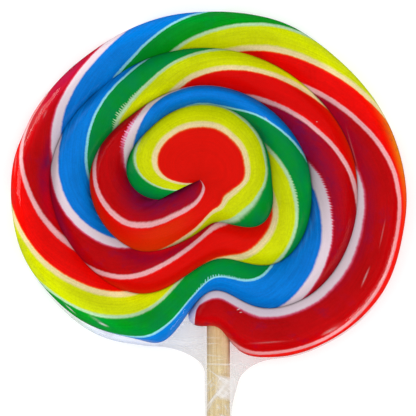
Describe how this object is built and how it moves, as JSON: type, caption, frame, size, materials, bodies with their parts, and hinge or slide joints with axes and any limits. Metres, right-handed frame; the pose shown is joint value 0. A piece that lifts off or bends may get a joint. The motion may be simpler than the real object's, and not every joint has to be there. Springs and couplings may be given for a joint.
{
  "type": "swirl lollipop",
  "caption": "Flat spiral lollipop: a twisted rainbow rope of hard candy coiled into a disc, on a round wooden stick, in clear film gathered at the stick.",
  "frame": {"origin": "bottom centre of the bounding box, on the surface the lollipop lies on", "axes": "+Z out of the front face, +Y from the stick towards the disc, +X to the right seen from the front"},
  "size_m": [0.0758, 0.1538, 0.0093],
  "materials": {
    "candy": "glossy boiled sugar in twisted red, crimson, yellow, green and blue bands parted by thin white lines",
    "stick_wood": "plain pale birch dowel, smooth, unvarnished, with fine lengthwise grain",
    "wrapper_film": "clear glossy film, tight over the disc, wrinkled where it is gathered round the stick"
  },
  "bodies": {
    "root": {"candy_swirl": "candy", "stick": "stick_wood", "wrapper_skirt": "wrapper_film"}
  },
  "joints": []
}
